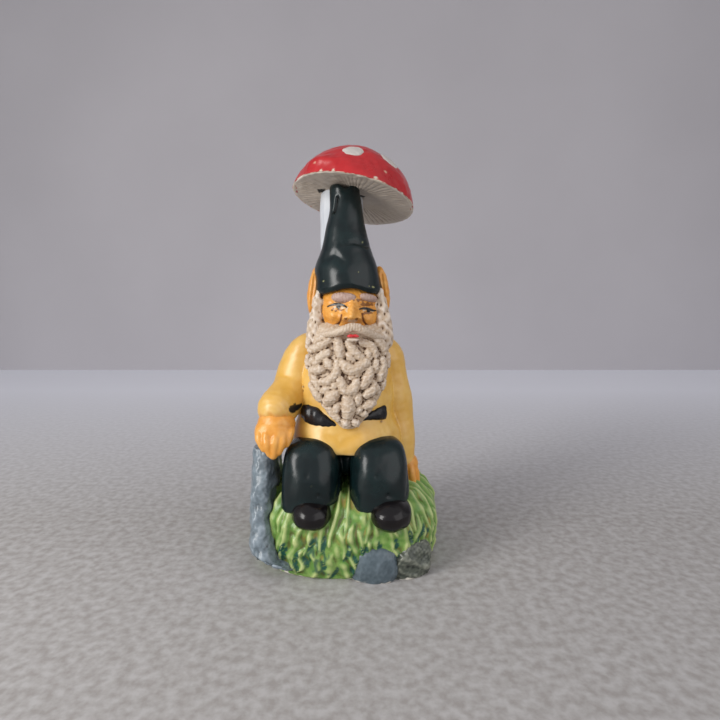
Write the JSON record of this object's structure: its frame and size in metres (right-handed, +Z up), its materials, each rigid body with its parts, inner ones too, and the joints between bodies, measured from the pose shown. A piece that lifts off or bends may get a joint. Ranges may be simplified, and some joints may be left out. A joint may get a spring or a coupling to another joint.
{
  "type": "garden gnome",
  "caption": "Painted plaster gnome seated on a grassy mound under a spotted toadstool, one hand on a rock, with a flat underside.",
  "frame": {"origin": "middle of the flat underside of the base", "axes": "+Z up, the gnome faces -Y, its right hand is at -X"},
  "size_m": [0.069, 0.0656, 0.1489],
  "materials": {
    "grass_green": "glossy enamel over cast plaster",
    "rock_grey": "glossy enamel over cast plaster",
    "stem_white": "glossy enamel over cast plaster",
    "cap_red": "glossy enamel over cast plaster",
    "gill_cream": "satin paint over plaster",
    "spot_white": "glossy enamel over cast plaster",
    "steel_rod": "plain drawn steel",
    "trouser_green": "glossy enamel over cast plaster",
    "boot_black": "glossy enamel over cast plaster",
    "tunic_yellow": "glossy enamel over cast plaster",
    "belt_black": "glossy enamel over cast plaster",
    "skin_ochre": "glossy enamel over cast plaster",
    "brow_grey": "satin paint over plaster",
    "beard_cream": "satin paint over plaster with a brown wash in its hollows",
    "hat_green": "glossy enamel over cast plaster"
  },
  "bodies": {
    "root": {"grass_mound": "grass_green", "side_rock": "rock_grey", "front_stone": "rock_grey", "corner_stone": "rock_grey", "toadstool_stem": "stem_white", "toadstool_cap": "cap_red", "gill_disc": "gill_cream", "cap_spots": "spot_white", "stem_rod": "steel_rod", "trousers_seat": "trouser_green", "right_leg": "trouser_green", "left_leg": "trouser_green", "right_boot": "boot_black", "left_boot": "boot_black", "tunic_body": "tunic_yellow", "tunic_skirt": "tunic_yellow", "belt": "belt_black", "right_sleeve": "tunic_yellow", "left_sleeve": "tunic_yellow", "right_hand": "skin_ochre", "left_hand": "skin_ochre", "head": "skin_ochre", "nose": "skin_ochre", "eyebrows": "brow_grey", "right_ear": "skin_ochre", "left_ear": "skin_ochre", "hair": "beard_cream", "moustache": "beard_cream", "beard": "beard_cream", "hat": "hat_green"}
  },
  "joints": []
}
